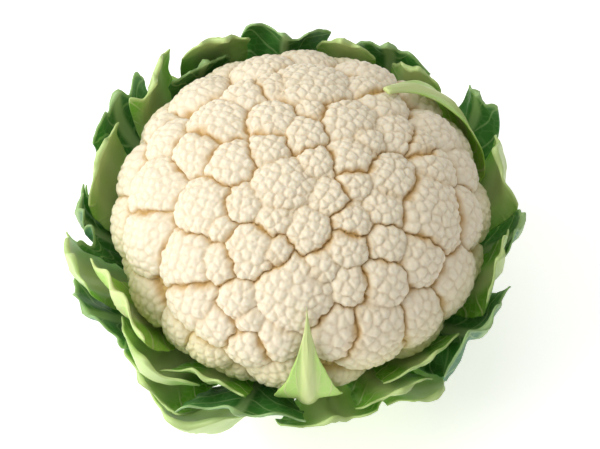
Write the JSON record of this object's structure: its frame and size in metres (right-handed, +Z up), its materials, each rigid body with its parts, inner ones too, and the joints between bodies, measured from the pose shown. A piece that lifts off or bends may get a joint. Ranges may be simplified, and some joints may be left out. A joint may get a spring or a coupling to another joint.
{
  "type": "cauliflower",
  "caption": "Whole head of cauliflower: a domed white curd of tight florets, cupped by trimmed green leaves on a short cut stump.",
  "frame": {"origin": "middle of the stump's flat cut face, which the head stands on", "axes": "+Z up through the middle of the curd, -Y towards the side that the picture looks down on, +X to the right of that view"},
  "size_m": [0.2078, 0.2018, 0.1422],
  "materials": {
    "curd": "matte, creamy white",
    "stump": "moist, pale green-white",
    "heart_leaf": "satin, pale yellow-green",
    "leaf": "satin, mid green with a pale midrib",
    "dark_leaf": "satin, dark green with pale veins"
  },
  "bodies": {
    "root": {"curd": "curd", "stump": "stump", "heart_leaf_front": "heart_leaf", "heart_leaf_left": "heart_leaf", "heart_leaf_right": "heart_leaf", "leaf_inner_left": "leaf", "leaf_inner_right": "leaf", "dark_leaf_frilly": "dark_leaf", "dark_leaf_back_left": "dark_leaf", "leaf_right": "leaf", "leaf_back": "leaf", "leaf_back_right": "leaf", "leaf_far_right": "leaf", "leaf_far_left": "leaf", "leaf_front_left": "leaf", "leaf_torn": "leaf", "leaf_front": "leaf", "leaf_small": "leaf", "dark_leaf_back": "dark_leaf", "leaf_left": "leaf", "dark_leaf_front": "dark_leaf", "dark_leaf_near_right": "dark_leaf", "dark_leaf_right": "dark_leaf", "dark_leaf_far": "dark_leaf", "leaf_pointing_right": "dark_leaf", "leaf_pointing_left": "dark_leaf", "dark_leaf_left": "dark_leaf", "wrapper_near_left": "leaf", "wrapper_bulging": "leaf", "wrapper_front": "leaf", "wrapper_near_right": "leaf", "wrapper_back": "leaf", "wrapper_back_right": "leaf"}
  },
  "joints": []
}
